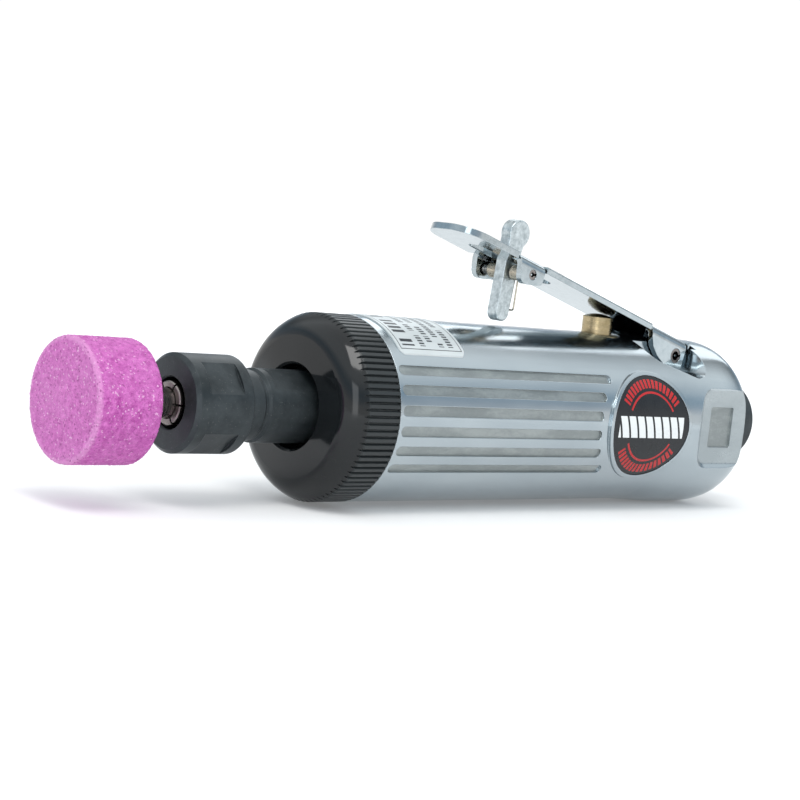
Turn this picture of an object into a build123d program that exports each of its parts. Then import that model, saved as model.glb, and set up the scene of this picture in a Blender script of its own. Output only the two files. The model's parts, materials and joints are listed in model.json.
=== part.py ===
from build123d import *
from math import cos, pi, radians, sin, sqrt, tan

# Die grinder, millimetres. The origin is the centre of the air inlet's mouth, +X runs along
# the spindle towards the grinding stone, +Y is the tool's left side and +Z points up through
# the throttle lever.

GAP = 0.02                      # clearance left between pieces that are fitted together
RUN = 0.05                      # radial clearance of a running fit

# Housing
BODY_R = 20.0
BODY_FRONT = 130.15             # joint line between the housing and the clamp ring
HEAD_REAR = 12.7                # rear face of the housing
HEAD_R = 20.3
HEAD_DROP = 0.5                 # the rear head sits this much lower than the spindle axis
HEAD_FACE_R = 15.0
HEAD_SHOULDER = (2.5, 0.6)       # how far the shoulder's curve reaches along and short of the rim
HEAD_ROUND_END = 23.0           # the shoulder is fully round from here forwards
HEAD_END = 30.0
BLEND_END = 44.0                # head and barrel have become one cylinder here
MOTOR_R = 16.5                  # bore for the air motor
MOTOR_REAR = 66.0
FLUTE_ANGLES = (-31.25, -18.75, -6.25, 6.25, 18.75, 31.25)
FLUTE_WIDTH = 2.2
FLUTE_DEPTH = 0.5
FLUTE_FRONT = 129.4
BADGE_X = 51.5
BADGE_A, BADGE_B = 13.3, 11.8   # half axes of the round badge seen from the side
BADGE_FLOOR_R = 20.15
BADGE_T = 0.3
BOSS_R = 20.6
BOSS_RIM = 0.9
FLUTE_TO_BADGE = 16.5           # distance of the flute ends from the badge centre
PAD_Y = 17.2                    # wrench flats at the rear
PAD_FRONT = 29.4
PAD_Z = 8.8
PAD_TAPER = 55
PAD_CORNER, PANEL_CORNER = 2.0, 0.6
PANEL = (18.0, 26.5, 4.9, 0.5)  # recessed panel in each flat: rear x, front x, half height, depth
LABEL = (108.5, 127.5, 14.9, 0.25)
LABEL_CORNER = 1.5
SEAT_DEPTH = 2.2                # notch floor above the lever's pivot
SEAT_LENGTH = 8.0
POCKET_R, POCKET_FRONT_R = 4.9, 4.6
POCKET_REACH, POCKET_RISE = 10.0, 3.0
EXHAUST_SLOT = (96.0, 42.0, 11.0, 3.0)
AIR_PORT_R = 1.5

# Throttle lever and its safety lock
PIVOT_X, PIVOT_Z = 31.3, 16.1
PIVOT_PIN_R = 1.75
LEVER_T = 1.5
LEVER_HALF = 8.0
LEVER_SLOPE = 15.9
LEVER_SLOT = 4.8                # lets the safety dog and its spring swing through
LEVER_X, LEVER_Z = 83.7, 35.6   # a point on the lever's upper face
LEVER_REAR, LEVER_TIP = 25.0, 105.2
LOCK_X, LOCK_Z = 84.0, 32.3
LOCK_PIN_R = 1.2
LOCK_HALF = 1.6
LOCK_FOOT_R = 2.0
LOCK_FOOT_X, LOCK_FOOT_Z = 85.75, 23.05
TONGUE_HALF = 6.2
EAR_LOBE_R = 4.3
LEVER_BEND_R = 2.2
LEVER_TIP_R, LEVER_HEEL_R = 6.5, 2.0
LEVER_SLOT_LENGTH = 26.6
PIVOT_EAR = (4.15, 9.3)         # how far the pivot ear reaches behind and before its pin
LOCK_EAR = 4.4
LOCK_EAR_PLATE = (8.2, 10.6, 2.2)   # length, height, corner radius
EAR_TOP = 26.0                  # the ear outlines run up past the sheet to here
PIVOT_EAR_FRONT = ((3.2, -2.9), (6.9, -0.2), (8.6, 1.9), (9.3, 4.2))   # front edge from the pin
PIVOT_EAR_HEEL = 1.1
BEND_LAND = 0.6                 # flat strip by which a folded edge overlaps the sheet
EAR_RELIEF = 0.45
LOCK_HEAD = (-1.0, 41.1, 3.15)  # x from the lock pin, z, radius
LOCK_CROWN = (-0.7, 40.6, 2.6)
LOCK_NECK = (0.1, 37.4, 2.3)
LOCK_EDGE = 0.35
PIN_WALL = 0.65
SPRING_WIRE, SPRING_INNER_R, SPRING_TURNS = 0.22, LOCK_PIN_R + 0.08, 9
SPRING_HOOK = (-1.1, -8.6)      # end of the legs from the lock pin, in x and z

# Throttle valve
VALVE_X = 52.0
VALVE_BORE_R = 5.0
VALVE_FLOOR = -10.0
SEAT_Z = 2.0
FLANGE_R, FLANGE_TOP = 5.35, 19.6
FLANGE_T = 1.2
PLUNGER_R = 3.6
GUIDE_R = PLUNGER_R + RUN
DOME_R, DOME_Z = 9.0, 15.48
PORT_Z = 13.2
BALL_R = 3.0
SEAT_R = 2.4
STEM_R = 1.6
BALL_Z = SEAT_Z - 1.8             # centre of the seated ball
CROSS_HOLE_R = 1.3
BUSHING_GROOVE = (5.6, 7.4, 0.9)   # bottom, top, depth of the O-ring groove
PORT_GROOVE = (1.7, 0.8)           # half height and depth of the air groove
PLUNGER_GROOVE = (17.6, 18.7, 0.8)
PLUNGER_FOOT = 16.9
VALVE_WIRE, VALVE_COIL_R, VALVE_PITCH = 0.25, 2.2, 1.25

# Air inlet
INLET_R = 10.0
INLET_THREAD_R, INLET_THREAD_LENGTH = 5.7, 14.0
INLET_SPIGOT_R, INLET_SPIGOT_END = 8.0, 30.0
INLET_PASSAGE_R, INLET_PASSAGE_Z = 4.0, -3.0
INLET_NECK_R = INLET_SPIGOT_R - 0.6
INLET_EDGE = 0.7
SCREEN_HOLE_R = 0.45
SCREEN_RINGS = ((0.0, 1), (1.5, 6), (3.0, 12))   # ring radius and number of holes
SCREEN_R = INLET_SPIGOT_R - 1.6
SCREEN_X = (INLET_SPIGOT_END - 1.1, INLET_SPIGOT_END - 0.5)

# Air motor
GASKET_T = 0.5
GASKET_HOLE_R = 11.2
REAR_PLATE = (66.5, 76.5)
LINER = (76.5, 108.5)
FRONT_PLATE = (108.5, 117.5)
PLATE_WALL = 2.5
LINER_BORE_R = 12.4
ECCENTRICITY = 1.4
ECCENTRIC_ANGLE = 225
ROTOR_R = 10.9
ROTOR_END_GAP = 0.06
VANE_T, VANE_H = 2.0, 5.2
DOWEL_R, DOWEL_PITCH_R, DOWEL_ANGLE = 1.0, 13.8, -40
REAR_BEARING = dict(bore=4.0, outer=11.0, width=7.0, ball=1.98, pitch=7.5, balls=7)
FRONT_BEARING = dict(bore=5.0, outer=11.0, width=6.0, ball=1.59, pitch=8.0, balls=11)
REAR_BEARING_X = 67.0
FRONT_BEARING_X = 111.0
STUB_R = 4.0
RACE_SHARE = 0.62               # how far the races reach round the balls, in ball radii
SHIELD_GAP = 0.25
SHIELD_X = (-0.45, -0.15)       # from the bearing's front face
JOURNAL_PLAY = 0.01
STUB_LENGTH = 11.5
REAR_SHAFT_HOLE_R, FRONT_SHAFT_HOLE_R = 5.6, 6.8
REAR_SHOULDER_R, FRONT_SHOULDER_R = 5.2, 6.3
LINER_INLETS = (5, 11, 17)      # from the liner's rear end
LINER_EXHAUSTS = (6, 12, 18, 24)
LINER_INLET_R, LINER_EXHAUST_WIDTH = 1.1, 2.4

# Clamp ring
RING_R = 20.0
RING_BORE_R = 8.95
RING_INNER_R = 13.5
RING_WALL_X = 136.5
KNURL_FRONT = 138.7
KNURL_RIBS = 88
KNURL_DEPTH = 0.6
KNURL_TO_NOSE = 0.4
KNURL_RIB = (0.26, 0.44)        # half widths of a rib's crest and foot, in pitches
RING_FRONT = 143.4
NOSE_R, NOSE_DROP = 17.6, 0.9   # round edge of the nose
FACE_R, FACE_DROP = 15.0, 0.5   # where the gently coned front face begins

# Spindle, collet and mounted stone
SPINDLE_R = 7.7
SPINDLE_REAR, SPINDLE_FRONT = 117.0, 171.0
SPINDLE_FLAT = 7.0
SPINDLE_FLAT_ANGLE = 57
SPINDLE_FLAT_X, SPINDLE_FLAT_LENGTH = 146.3, 12.4
SPINDLE_GROOVE = (154.0, 155.2, 0.5)   # start, end, depth
SPINDLE_NECK_R, SPINDLE_HEEL_R = 7.4, 6.2
TAPER_REAR, TAPER_FRONT = 157.0, 169.0
TAPER_R = (3.9, 5.3)
NUT_R = 10.1
NUT = (160.1, 174.2)
NUT_FLAT = 9.4
NUT_FLAT_ANGLE = 39.5
NUT_MOUTH_R = 5.2
NUT_THREAD_R = 6.9
NUT_POCKET_X, NUT_POCKET_LENGTH = 166.9, 8.2
NUT_THREAD_END = 171.2
NUT_BEVEL = 0.8
WRENCH_CUT = (4.0, 16.0)        # depth and width of the cutter for a wrench flat
COLLET_R = 4.45
COLLET_FRONT = 174.7
COLLET_REAR = 157.6
COLLET_LAND = (170.6, 172.9)   # full width up to here, front cone down to here
COLLET_SLIT = 0.5
COLLET_SLIT_REAR = 160.5
COLLET_EDGE = 0.25
SHANK_R = 3.0
SHANK_REAR = 150.0
SHANK_IN_STONE = 4.0            # the shank stops this far behind the stone's front
STONE_EDGE = 1.0
STONE_R = 12.5
STONE = (183.9, 198.7)


def rod(r, x0, x1):
    """Cylinder along X."""
    return Pos((x0 + x1) / 2, 0, 0) * Rot(0, 90, 0) * Cylinder(r, x1 - x0)


def tube(r_out, r_in, x0, x1):
    """Ring or sleeve along X."""
    return rod(r_out, x0, x1) - rod(r_in, x0 - 1, x1 + 1)


def mouth_chamfer(x, r, size):
    """Cutter for the chamfer round a bore's mouth that faces +X."""
    return turned((x - size, 0), (x - size, r), (x + 0.1, r + size + 0.1), (x + 0.1, 0))


def turned(*profile):
    """Solid turned about X from (x, radius) corners."""
    return revolve(Plane.XZ * make_face(Polyline(*profile, close=True)), Axis.X)


def upright(r, x, z0, z1):
    """Cylinder along Z at y = 0."""
    return Pos(x, 0, (z0 + z1) / 2) * Cylinder(r, z1 - z0)


def pin(r, x, z, y0, y1):
    """Cylinder along Y."""
    return Pos(x, (y0 + y1) / 2, z) * Rot(90, 0, 0) * Cylinder(r, y1 - y0)


def side_prism(sketch, y0, y1, taper=0):
    """Sketch drawn in X and Z, extruded along +Y from y0 to y1."""
    face = Plane((0, y0, 0), x_dir=(-1, 0, 0), z_dir=(0, 1, 0)) * mirror(sketch, Plane.YZ)
    return extrude(face, y1 - y0, taper=taper)


def both_sides(solid):
    """The solid and its mirror image on the tool's other side."""
    return solid + mirror(solid, Plane.XZ)


def hull_of_circles(x0, z0, r0, x1, z1, r1):
    """Slot outline that joins two circles by their outer tangents."""
    return make_hull((Pos(x0, z0) * Circle(r0) + Pos(x1, z1) * Circle(r1)).edges())


def housing_outside():
    """Barrel and rear head without bores."""
    barrel = rod(BODY_R, BLEND_END, BODY_FRONT)
    face = Line((HEAD_REAR, 0), (HEAD_REAR, HEAD_FACE_R))
    shoulder = Bezier((HEAD_REAR, HEAD_FACE_R), (HEAD_REAR, HEAD_R - HEAD_SHOULDER[1]),
                      (HEAD_REAR + HEAD_SHOULDER[0], HEAD_R), (HEAD_ROUND_END, HEAD_R))
    top = Polyline((HEAD_ROUND_END, HEAD_R), (HEAD_END, HEAD_R), (HEAD_END, 0), (HEAD_REAR, 0))
    head = revolve(Plane.XZ * make_face(face + shoulder + top), Axis.X)
    blend = loft([Plane.YZ.offset(HEAD_END) * Pos(0, -HEAD_DROP) * Circle(HEAD_R),
                  Plane.YZ.offset(BLEND_END) * Circle(BODY_R)])
    return barrel + blend + Pos(0, 0, -HEAD_DROP) * head


def badge_seat(solid):
    """Raised rim with a sunk floor for the round badge, on both sides."""
    rim_outline = Pos(BADGE_X, 0) * Ellipse(BADGE_A + BOSS_RIM, BADGE_B + BOSS_RIM)
    rim = side_prism(rim_outline, BODY_R / 2, BODY_R + 2)
    rim &= rod(BOSS_R, BADGE_X - BODY_R, BADGE_X + BODY_R)
    seat_outline = Pos(BADGE_X, 0) * Ellipse(BADGE_A + GAP, BADGE_B + GAP)
    seat = side_prism(seat_outline, BODY_R / 2, BODY_R + 2)
    seat -= rod(BADGE_FLOOR_R, BADGE_X - BODY_R, BADGE_X + BODY_R)
    return solid + both_sides(rim) - both_sides(seat)


def flutes():
    """Shallow grip flutes along both sides, with round ends that follow the badge."""
    cutters = []
    for angle in FLUTE_ANGLES:
        arc = BODY_R * radians(angle)
        rear = BADGE_X + sqrt(FLUTE_TO_BADGE ** 2 - arc ** 2)
        middle, length = (rear + FLUTE_FRONT) / 2, FLUTE_FRONT - rear
        slot = side_prism(Pos(middle, 0) * SlotOverall(length, FLUTE_WIDTH),
                          BODY_R - FLUTE_DEPTH, BODY_R + 1)
        for turn in (angle, 180 - angle):
            cutters.append(Rot(turn, 0, 0) * slot)
    return cutters


def wrench_flats():
    """Flat with sloped walls and a sunk panel, on each side of the rear head."""
    rear = HEAD_REAR - 6
    middle, length = (rear + PAD_FRONT) / 2, PAD_FRONT - rear
    plan = Pos(middle, 0) * RectangleRounded(length, 2 * PAD_Z, PAD_CORNER)
    flat = side_prism(plan, PAD_Y, PAD_Y + 4, taper=-PAD_TAPER)
    x0, x1, half, depth = PANEL
    panel = side_prism(Pos((x0 + x1) / 2, 0) * RectangleRounded(x1 - x0, 2 * half, PANEL_CORNER),
                       PAD_Y - depth, PAD_Y + 1)
    return [both_sides(flat), both_sides(panel)]


def lever_seat():
    """Notch over the tongue and the two ear pockets at the lever's pivot."""
    floor = PIVOT_Z + SEAT_DEPTH
    slope = tan(radians(LEVER_SLOPE))
    rear, front = LEVER_REAR - 0.5, PIVOT_X + SEAT_LENGTH
    above = BODY_R + 10
    outline = Polyline((rear, floor + (rear - PIVOT_X) * slope), (front, floor + SEAT_LENGTH * slope),
                       (front, above), (rear, above), close=True)
    notch = side_prism(make_face(outline), -LEVER_HALF - 0.4, LEVER_HALF + 0.4)
    room = hull_of_circles(PIVOT_X, PIVOT_Z + 0.4, POCKET_R,
                           PIVOT_X + POCKET_REACH, PIVOT_Z + POCKET_RISE, POCKET_FRONT_R)
    pocket = side_prism(room, TONGUE_HALF, BODY_R + 2)
    return [notch, both_sides(pocket), pin(PIVOT_PIN_R, PIVOT_X, PIVOT_Z, -BODY_R, BODY_R)]


def air_ways():
    """Bores for the motor, the valve and the inlet, and the passages between them."""
    bore = rod(MOTOR_R, MOTOR_REAR, BODY_FRONT + 1)
    valve = upright(VALVE_BORE_R, VALVE_X, VALVE_FLOOR, BODY_R + 2)
    spot_face = upright(FLANGE_R + 0.2, VALVE_X, FLANGE_TOP - FLANGE_T, BODY_R + 2)
    spigot = rod(INLET_SPIGOT_R, HEAD_REAR - 1, INLET_SPIGOT_END)
    inlet = Pos(0, 0, INLET_PASSAGE_Z) * rod(INLET_PASSAGE_R, INLET_SPIGOT_END - 1, VALVE_X)
    outlet = Pos(0, 0, PORT_Z) * rod(AIR_PORT_R + 0.1, VALVE_X, MOTOR_REAR + 1)
    middle, length, width, depth = EXHAUST_SLOT
    exhaust = Pos(middle, 0, -MOTOR_R + 0.5) * Box(length, width, depth)
    return [bore, valve, spot_face, spigot, inlet, outlet, exhaust]


def housing():
    body = badge_seat(housing_outside())
    for cutters in (flutes(), wrench_flats(), lever_seat(), air_ways()):
        for cutter in cutters:
            body -= cutter
    return body


def side_badge():
    x0, x1 = BADGE_X - BADGE_A - 1, BADGE_X + BADGE_A + 1
    skin = tube(BADGE_FLOOR_R + BADGE_T, BADGE_FLOOR_R + GAP, x0, x1)
    disc = side_prism(Pos(BADGE_X, 0) * Ellipse(BADGE_A - 0.03, BADGE_B - 0.03), 5, BODY_R + 2)
    return skin & disc


def spec_label():
    x0, x1, half, thick = LABEL
    skin = tube(BODY_R + thick, BODY_R + 0.01, x0 - 1, x1 + 1)
    plan = Pos((x0 + x1) / 2, 0) * RectangleRounded(x1 - x0, 2 * half, LABEL_CORNER)
    return skin & extrude(Plane.XY * plan, BODY_R + 2)


def inlet_bushing():
    collar = rod(INLET_R, 0, HEAD_REAR - 1.0)
    collar = fillet(collar.edges().sort_by(Axis.X)[0], INLET_EDGE)
    neck = rod(INLET_NECK_R, HEAD_REAR - 1.5, HEAD_REAR + 2)
    spigot = rod(INLET_SPIGOT_R - GAP, HEAD_REAR + 1.5, INLET_SPIGOT_END - GAP)
    thread = rod(INLET_THREAD_R, -1, INLET_THREAD_LENGTH)
    step = rod(INLET_SPIGOT_R - 1.5, INLET_SPIGOT_END - 1.2, INLET_SPIGOT_END + 1)
    return collar + neck + spigot - thread - rod(INLET_PASSAGE_R, 0, INLET_SPIGOT_END + 1) - step


def inlet_gasket():
    """Flat washer between the bushing's collar and the housing."""
    return tube(INLET_R - 0.6, INLET_NECK_R + GAP, HEAD_REAR - 1.0 + GAP, HEAD_REAR - GAP)


def inlet_screen():
    """Perforated disc that keeps dirt out of the valve."""
    x0, x1 = SCREEN_X
    disc = rod(SCREEN_R, x0, x1)
    hole = rod(SCREEN_HOLE_R, x0 - 1, x1 + 1)
    for ring_r, count in SCREEN_RINGS:
        for step in range(count):
            angle = 2 * pi * step / count
            disc -= Pos(0, ring_r * cos(angle), ring_r * sin(angle)) * hole
    return disc


def upright_groove(r, depth, z0, z1):
    """Cutter for a groove round an upright piece of radius r."""
    return upright(r + 1, VALVE_X, z0, z1) - upright(r - depth, VALVE_X, z0 - 1, z1 + 1)


def valve_bushing():
    """Flanged guide of the push pin, with its ball seat below and the air ports half way."""
    flange = upright(FLANGE_R, VALVE_X, FLANGE_TOP - FLANGE_T + GAP, FLANGE_TOP)
    flange = chamfer(flange.edges().sort_by(Axis.Z)[-1], 0.3)
    barrel = upright(VALVE_BORE_R - GAP, VALVE_X, SEAT_Z, FLANGE_TOP - FLANGE_T + 0.5)
    bottom, top, depth = BUSHING_GROOVE
    half, port_depth = PORT_GROOVE
    body = flange + barrel - upright_groove(VALVE_BORE_R, depth, bottom, top)
    body -= upright_groove(VALVE_BORE_R, port_depth, PORT_Z - half, PORT_Z + half)
    body -= upright(SEAT_R, VALVE_X, SEAT_Z - 1, SEAT_Z + 3)
    body -= upright(SEAT_R + 0.5, VALVE_X, SEAT_Z + 2, FLANGE_TOP + 1)
    body -= upright(GUIDE_R, VALVE_X, PORT_Z + half + 0.05, FLANGE_TOP + 1)
    seat_ball = Pos(VALVE_X, 0, BALL_Z) * Sphere(BALL_R + GAP)
    hole = Cylinder(CROSS_HOLE_R, 2 * VALVE_BORE_R + 2)
    cross = Pos(VALVE_X, 0, PORT_Z) * (Rot(90, 0, 0) * hole + Rot(0, 90, 0) * hole)
    return body - seat_ball - cross


def bushing_o_ring():
    middle = (BUSHING_GROOVE[0] + BUSHING_GROOVE[1]) / 2
    return Pos(VALVE_X, 0, middle) * Torus(VALVE_BORE_R - 0.46, 0.42)


def valve_plunger():
    """Domed push pin with an O-ring groove and the long stem that lifts the ball."""
    bottom, top, depth = PLUNGER_GROOVE
    head = upright(PLUNGER_R, VALVE_X, PLUNGER_FOOT, DOME_Z + DOME_R)
    head &= Pos(VALVE_X, 0, DOME_Z) * Sphere(DOME_R)
    stem = upright(STEM_R, VALVE_X, BALL_Z + BALL_R + GAP, bottom)
    return head - upright_groove(PLUNGER_R, depth, bottom, top) + stem


def plunger_o_ring():
    return Pos(VALVE_X, 0, (PLUNGER_GROOVE[0] + PLUNGER_GROOVE[1]) / 2) * Torus(PLUNGER_R - 0.4, 0.38)


def valve_ball():
    return Pos(VALVE_X, 0, BALL_Z) * Sphere(BALL_R)


def valve_spring():
    bottom, top = VALVE_FLOOR + VALVE_WIRE + GAP, BALL_Z - BALL_R + 0.6
    path = Helix(pitch=VALVE_PITCH, height=top - bottom, radius=VALVE_COIL_R)
    section = Plane(path @ 0, z_dir=path % 0) * Circle(VALVE_WIRE)
    return Pos(VALVE_X, 0, bottom) * sweep(section, path=path, is_frenet=True)


def bend_strip(u0, u1):
    """Folded edge of the sheet along the lever, one side, in lever axes."""
    t, r, h = LEVER_T, LEVER_BEND_R, LEVER_HALF
    outer = ThreePointArc((h - r, 0), (h - r + r * sin(pi / 4), -r + r * cos(pi / 4)), (h, -r))
    k = r - t
    inner = ThreePointArc((h - t, -r), (h - r + k * sin(pi / 4), -r + k * cos(pi / 4)), (h - r, -t))
    low = -2 * LEVER_Z
    outline = (Line((h - r - BEND_LAND, 0), (h - r, 0)) + outer + Line((h, -r), (h, low))
               + Line((h, low), (h - t, low)) + Line((h - t, low), (h - t, -r)) + inner
               + Line((h - r, -t), (h - r - BEND_LAND, -t))
               + Line((h - r - BEND_LAND, -t), (h - r - BEND_LAND, 0)))
    section = Plane((u0, 0, 0), x_dir=(0, 1, 0), z_dir=(1, 0, 0)) * make_face(outline)
    return extrude(section, u1 - u0)


LEVER_AXES = Location(Plane((LEVER_X, 0, LEVER_Z), z_dir=(-sin(radians(LEVER_SLOPE)), 0,
                                                          cos(radians(LEVER_SLOPE))),
                            x_dir=(cos(radians(LEVER_SLOPE)), 0, sin(radians(LEVER_SLOPE)))))


def along(x):
    """Distance along the lever, from its reference point, of a place at x."""
    return (x - LEVER_X) / cos(radians(LEVER_SLOPE))


def ear_outlines():
    """Side outlines of the pivot ear and of the lock ear, in X and Z."""
    lobe = Pos(PIVOT_X, PIVOT_Z) * Circle(EAR_LOBE_R)
    rear = PIVOT_X - PIVOT_EAR[0]
    front = [(PIVOT_X + x, PIVOT_Z + z) for x, z in PIVOT_EAR_FRONT]
    skirt = make_face(Polyline((rear, PIVOT_Z + PIVOT_EAR_HEEL), *front, (front[-1][0], EAR_TOP),
                               (rear, EAR_TOP), close=True))
    length, height, corner = LOCK_EAR_PLATE
    lock = Pos(LOCK_X - 0.2, LOCK_Z + height / 2 - 2.3) * RectangleRounded(length, height, corner)
    return lobe + skirt, lock


def throttle_lever():
    u0, u1 = along(LEVER_REAR), along(LEVER_TIP)
    ears = [(along(PIVOT_X - PIVOT_EAR[0]), along(PIVOT_X + PIVOT_EAR[1])),
            (along(LOCK_X - LOCK_EAR), along(LOCK_X + LOCK_EAR))]
    web = Pos((u0 + u1) / 2, 0, -LEVER_T / 2) * Box(u1 - u0, 2 * LEVER_HALF, LEVER_T)
    web = fillet(web.edges().filter_by(Axis.Z).group_by(Axis.X)[-1], LEVER_TIP_R)
    web = fillet(web.edges().filter_by(Axis.Z).group_by(Axis.X)[0], LEVER_HEEL_R)
    slot = Pos(-0.6, 0, 0) * extrude(SlotOverall(LEVER_SLOT_LENGTH, LEVER_SLOT), 3, both=True)
    web -= slot
    for start, end in ears:
        size = Box(end - start + 2 * EAR_RELIEF, 2 * LEVER_BEND_R, 6)
        relief = Pos((start + end) / 2, LEVER_HALF, 0) * size
        web -= both_sides(relief)
    top_lines = web.edges().group_by(Axis.Z)[-1].filter_by(GeomType.LINE)
    long_sides = top_lines.filter_by(lambda e: e.length > 18 and abs(e.center().Y) > LEVER_HALF - 0.1)
    web = chamfer(long_sides, 0.25)
    lever = LEVER_AXES * web
    for (start, end), outline in zip(ears, ear_outlines()):
        strip = LEVER_AXES * bend_strip(start, end)
        ear = strip & side_prism(outline, 0, LEVER_HALF + 1)
        lever += both_sides(ear)
    lever -= pin(PIVOT_PIN_R + RUN, PIVOT_X, PIVOT_Z, -10, 10)
    lever -= pin(LOCK_PIN_R, LOCK_X, LOCK_Z, -10, 10)
    return lever


def roll_pin(r, x, z, half):
    """Split spring pin along Y."""
    body = pin(r, x, z, -half, half) - pin(r - PIN_WALL, x, z, -half - 1, half + 1)
    return body - Pos(x - r, 0, z) * Box(2 * r - 1, 2 * half + 2, 0.5)


def lever_pin():
    return roll_pin(PIVOT_PIN_R - 0.005, PIVOT_X, PIVOT_Z, LEVER_HALF - 0.1)


def lock_pin():
    return roll_pin(LOCK_PIN_R - 0.005, LOCK_X, LOCK_Z, LEVER_HALF - 0.2)


def lock_lever():
    """Cast safety dog: round head above the lever, tapering shank and round foot."""
    head_x, head_z, head_r = LOCK_HEAD
    crown_x, crown_z, crown_r = LOCK_CROWN
    neck_x, neck_z, neck_r = LOCK_NECK
    head = Pos(LOCK_X + head_x, head_z) * Circle(head_r)
    shank = hull_of_circles(LOCK_X + neck_x, neck_z, neck_r, LOCK_FOOT_X, LOCK_FOOT_Z, LOCK_FOOT_R)
    crown = hull_of_circles(LOCK_X + crown_x, crown_z, crown_r, LOCK_X + neck_x, neck_z, neck_r)
    body = side_prism(head + shank + crown, -LOCK_HALF, LOCK_HALF)
    rims = body.edges().filter_by(lambda e: abs(abs(e.center().Y) - LOCK_HALF) < 0.01)
    body = fillet(rims, LOCK_EDGE)
    return body - pin(LOCK_PIN_R + RUN, LOCK_X, LOCK_Z, -5, 5)


def coil_pack(y0):
    """Close wound turns on the lock pin, as touching rings."""
    ring = Rot(90, 0, 0) * Torus(SPRING_INNER_R + SPRING_WIRE, SPRING_WIRE)
    rings = Pos(LOCK_X, y0 + SPRING_WIRE, LOCK_Z) * ring
    for turn in range(1, SPRING_TURNS):
        y = y0 + SPRING_WIRE + turn * 2 * SPRING_WIRE * 0.96
        rings += Pos(LOCK_X, y, LOCK_Z) * ring
    return rings


def lock_spring():
    """Double torsion spring: two coils joined by a U that pushes the dog's rear edge."""
    y_in = LOCK_HALF + 0.15
    y_leg = y_in + SPRING_WIRE
    hook_x, hook_z = LOCK_X + SPRING_HOOK[0], LOCK_Z + SPRING_HOOK[1]
    coil_x = LOCK_X - SPRING_INNER_R - SPRING_WIRE
    path = FilletPolyline((coil_x, y_leg, LOCK_Z), (hook_x, y_leg, hook_z), (hook_x, -y_leg, hook_z),
                          (coil_x, -y_leg, LOCK_Z), radius=0.6)
    legs = sweep(Plane(path @ 0, z_dir=path % 0) * Circle(SPRING_WIRE), path=path)
    return both_sides(coil_pack(y_in)) + legs


def plate_gasket():
    x0, x1 = MOTOR_REAR + GAP, MOTOR_REAR + GASKET_T - GAP
    port = Pos(0, 0, PORT_Z) * rod(AIR_PORT_R + 0.1, x0 - 1, x1 + 1)
    return tube(MOTOR_R - 0.1, GASKET_HOLE_R, x0, x1) - port


def air_port(x0, x1):
    return Pos(0, 0, PORT_Z) * rod(AIR_PORT_R, x0, x1)


def dowel(r, x0, x1):
    """Pin, or its hole, that keys the liner to the rear end plate."""
    return Rot(DOWEL_ANGLE, 0, 0) * Pos(0, 0, DOWEL_PITCH_R) * rod(r, x0, x1)


def rear_end_plate():
    x0, x1 = REAR_PLATE
    plate = rod(MOTOR_R - GAP, x0, x1 - GAP)
    plate -= rod(REAR_BEARING["outer"] + GAP, x0 - 1, x1 - PLATE_WALL)
    plate -= rod(REAR_SHAFT_HOLE_R, x0, x1 + 1) + dowel(DOWEL_R, x0 + 5, x1 + 1)
    return plate - air_port(x0 - 1, x1 + 1)


def front_end_plate():
    x0, x1 = FRONT_PLATE
    plate = rod(MOTOR_R - GAP, x0 + GAP, x1 - GAP)
    plate -= rod(FRONT_BEARING["outer"] + GAP, x0 + PLATE_WALL, x1 + 1)
    exhaust = Pos((x0 + x1) / 2, 0, -MOTOR_R) * Box(x1 - x0 + 2, 10, 7)
    return plate - rod(FRONT_SHAFT_HOLE_R, x0 - 1, x1) - exhaust


def cylinder_liner():
    x0, x1 = LINER
    angle = radians(ECCENTRIC_ANGLE)
    offset = Pos(0, ECCENTRICITY * cos(angle), ECCENTRICITY * sin(angle))
    liner = rod(MOTOR_R - GAP, x0, x1) - offset * rod(LINER_BORE_R, x0 - 1, x1 + 1)
    liner -= air_port(x0 - 1, x0 + 22) + dowel(DOWEL_R, x0 - 1, x0 + 4)
    for step in LINER_INLETS:
        liner -= upright(LINER_INLET_R, x0 + step, 8, PORT_Z)
    for step in LINER_EXHAUSTS:
        liner -= Pos(x0 + step, 0, -MOTOR_R + 1) * Box(LINER_EXHAUST_WIDTH, 9, 9)
    return liner


def liner_dowel():
    return dowel(DOWEL_R - GAP, REAR_PLATE[0] + 5.1, LINER[0] + 3.9)


def rotor():
    """Slotted vane rotor with its two journals and the threaded front stub."""
    x0, x1 = LINER[0] + ROTOR_END_GAP, LINER[1] - ROTOR_END_GAP
    rear = REAR_BEARING_X + REAR_BEARING["width"]
    body = rod(ROTOR_R, x0, x1) + rod(REAR_SHOULDER_R, rear, x0 + 1)
    body += rod(FRONT_SHOULDER_R, x1 - 1, FRONT_BEARING_X)
    body += rod(REAR_BEARING["bore"] - JOURNAL_PLAY, REAR_BEARING_X - 0.2, rear + 1)
    body += rod(FRONT_BEARING["bore"] - JOURNAL_PLAY, FRONT_BEARING_X - 1, SPINDLE_REAR)
    body += rod(STUB_R - GAP, SPINDLE_REAR - 1, SPINDLE_REAR + STUB_LENGTH)
    for angle in range(0, 360, 90):
        slot = Pos((x0 + x1) / 2, 0, ROTOR_R) * Box(x1 - x0 + 0.02, VANE_T + 0.06, 2 * VANE_H + 0.6)
        body -= Rot(angle, 0, 0) * slot
    return body


def vane(angle):
    x0, x1 = LINER[0] + 2 * ROTOR_END_GAP, LINER[1] - 2 * ROTOR_END_GAP
    blade = Pos((x0 + x1) / 2, 0, ROTOR_R - VANE_H / 2 - 0.15) * Box(x1 - x0, VANE_T, VANE_H)
    return Rot(angle, 0, 0) * blade


def bearing_groove(bearing, x):
    middle = x + bearing["width"] / 2
    return Pos(middle, 0, 0) * Rot(0, 90, 0) * Torus(bearing["pitch"], bearing["ball"] * 1.02)


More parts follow.
